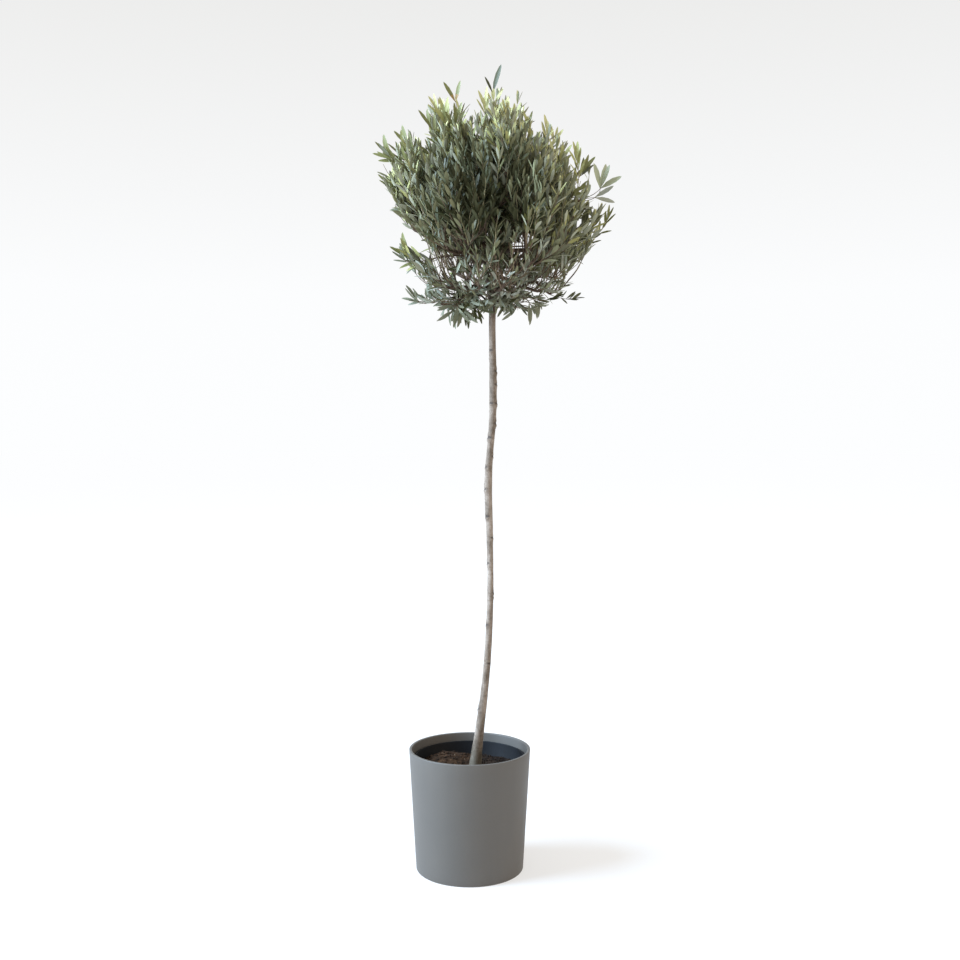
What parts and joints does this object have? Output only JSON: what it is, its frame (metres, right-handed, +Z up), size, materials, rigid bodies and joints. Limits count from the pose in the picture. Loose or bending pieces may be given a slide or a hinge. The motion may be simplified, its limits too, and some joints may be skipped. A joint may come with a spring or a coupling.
{
  "type": "potted olive tree",
  "caption": "Olive tree grown as a standard, with one clear stem and a bushy crown of narrow grey-green leaves, in a round tapered grey pot that stands on its flat underside.",
  "frame": {"origin": "centre of the pot's flat underside, on the surface that it stands on", "axes": "+Z up along the trunk, +X to the right and +Y to the back of the tree as seen from its front"},
  "size_m": [0.5906, 0.5212, 1.961],
  "materials": {
    "pot": "matte",
    "liner": "satin",
    "soil": "matte",
    "bark": "matte",
    "foliage": "matte"
  },
  "bodies": {
    "root": {"pot": "pot", "liner": "liner", "root_ball": "soil", "trunk": "bark", "bough_top": "bark", "bough_upper_right": "bark", "bough_upper_back": "bark", "bough_upper_left": "bark", "bough_upper_front": "bark", "bough_right": "bark", "bough_back_right": "bark", "bough_back_left": "bark", "bough_left": "bark", "bough_front_left": "bark", "bough_front_right": "bark", "bough_low_right": "bark", "bough_low_back": "bark", "bough_low_left": "bark", "bough_low_front": "bark", "bough_under_left": "bark", "bough_under_right": "bark", "foliage_top": "foliage", "foliage_upper_right": "foliage", "foliage_upper_back": "foliage", "foliage_upper_left": "foliage", "foliage_upper_front": "foliage", "foliage_right": "foliage", "foliage_back_right": "foliage", "foliage_back_left": "foliage", "foliage_left": "foliage", "foliage_front_left": "foliage", "foliage_front_right": "foliage", "foliage_low_right": "foliage", "foliage_low_back": "foliage", "foliage_low_left": "foliage", "foliage_low_front": "foliage", "foliage_under_left": "foliage", "foliage_under_right": "foliage"}
  },
  "joints": []
}
